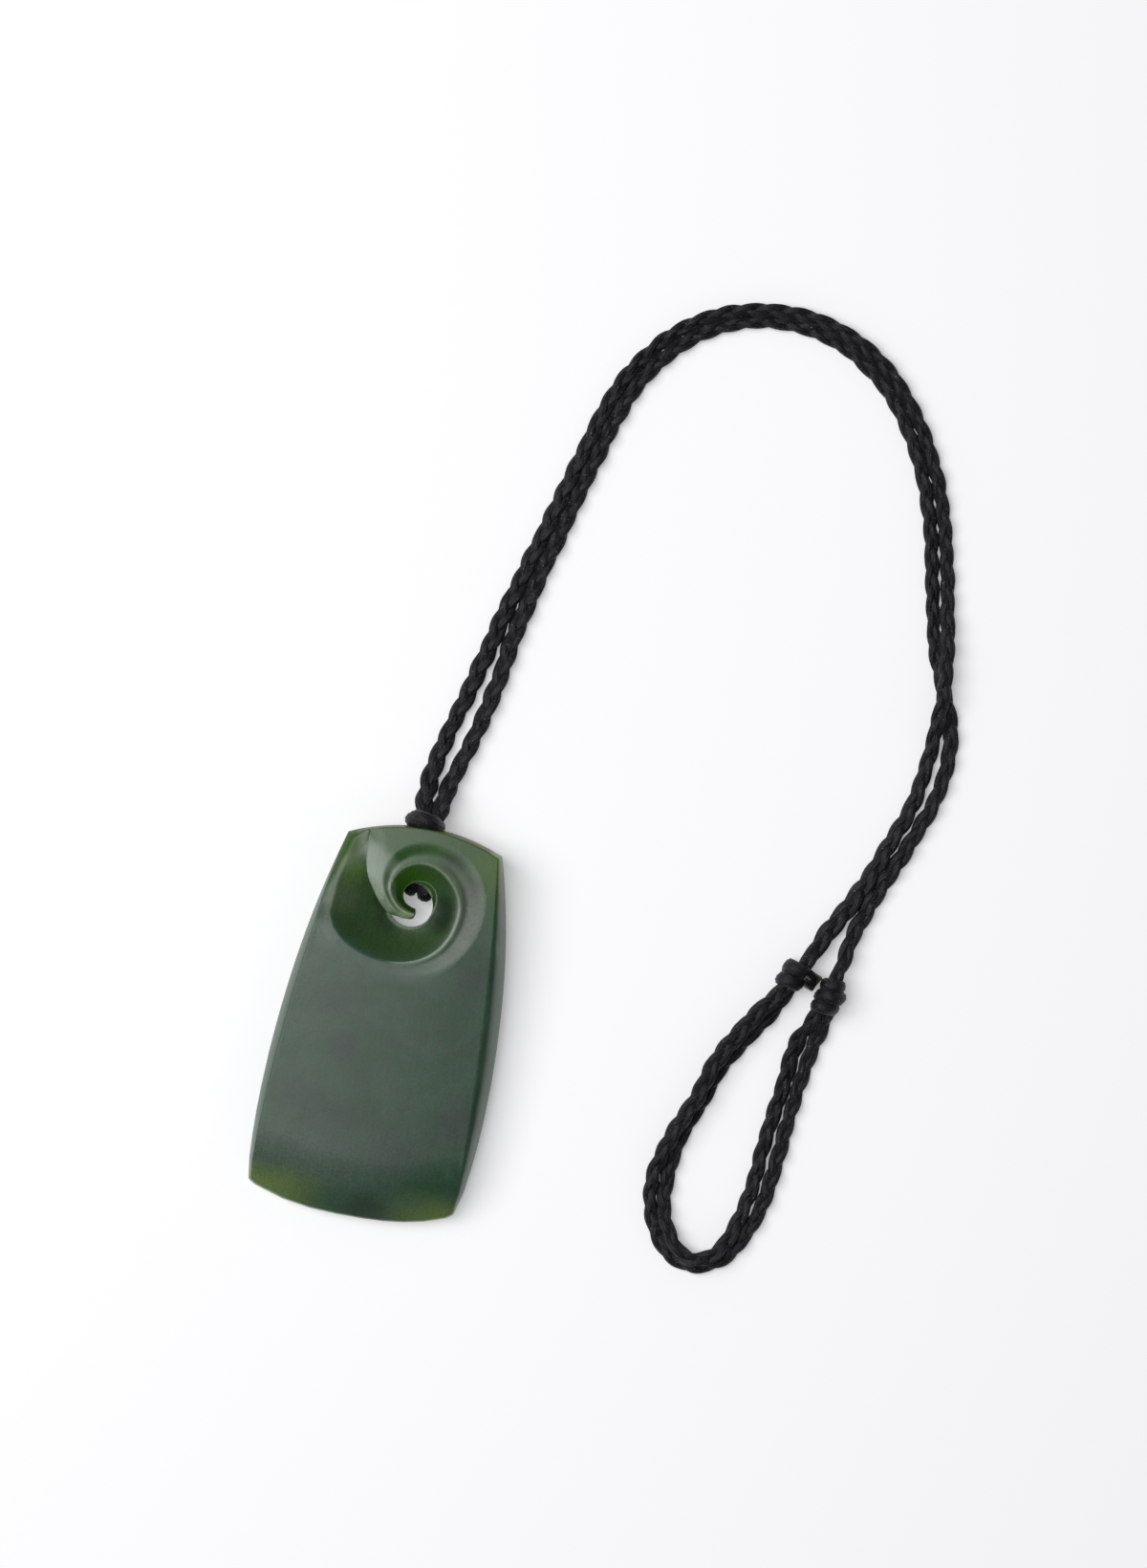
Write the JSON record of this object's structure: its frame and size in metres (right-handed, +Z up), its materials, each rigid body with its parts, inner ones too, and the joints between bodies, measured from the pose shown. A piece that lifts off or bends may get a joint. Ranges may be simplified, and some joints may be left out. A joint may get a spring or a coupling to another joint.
{
  "type": "adze pendant",
  "caption": "Adze-shaped stone pendant with a spiral carved round a drilled eye, hung on a doubled plaited cord that is closed by two sliding knots.",
  "frame": {"origin": "on the resting surface, under the middle of the stone", "axes": "+Y along the stone from the cutting edge towards the eye, +X across it to the right, +Z up out of its carved face"},
  "size_m": [0.0961, 0.1541, 0.0088],
  "materials": {
    "nephrite": "fine satin, hand-sanded green nephrite jade",
    "waxed_cord": "plaited waxed cotton, black"
  },
  "bodies": {
    "root": {"stone": "nephrite", "hitch": "waxed_cord", "cord_left": "waxed_cord", "cord_right": "waxed_cord", "knot_left": "waxed_cord", "knot_right": "waxed_cord"}
  },
  "joints": []
}
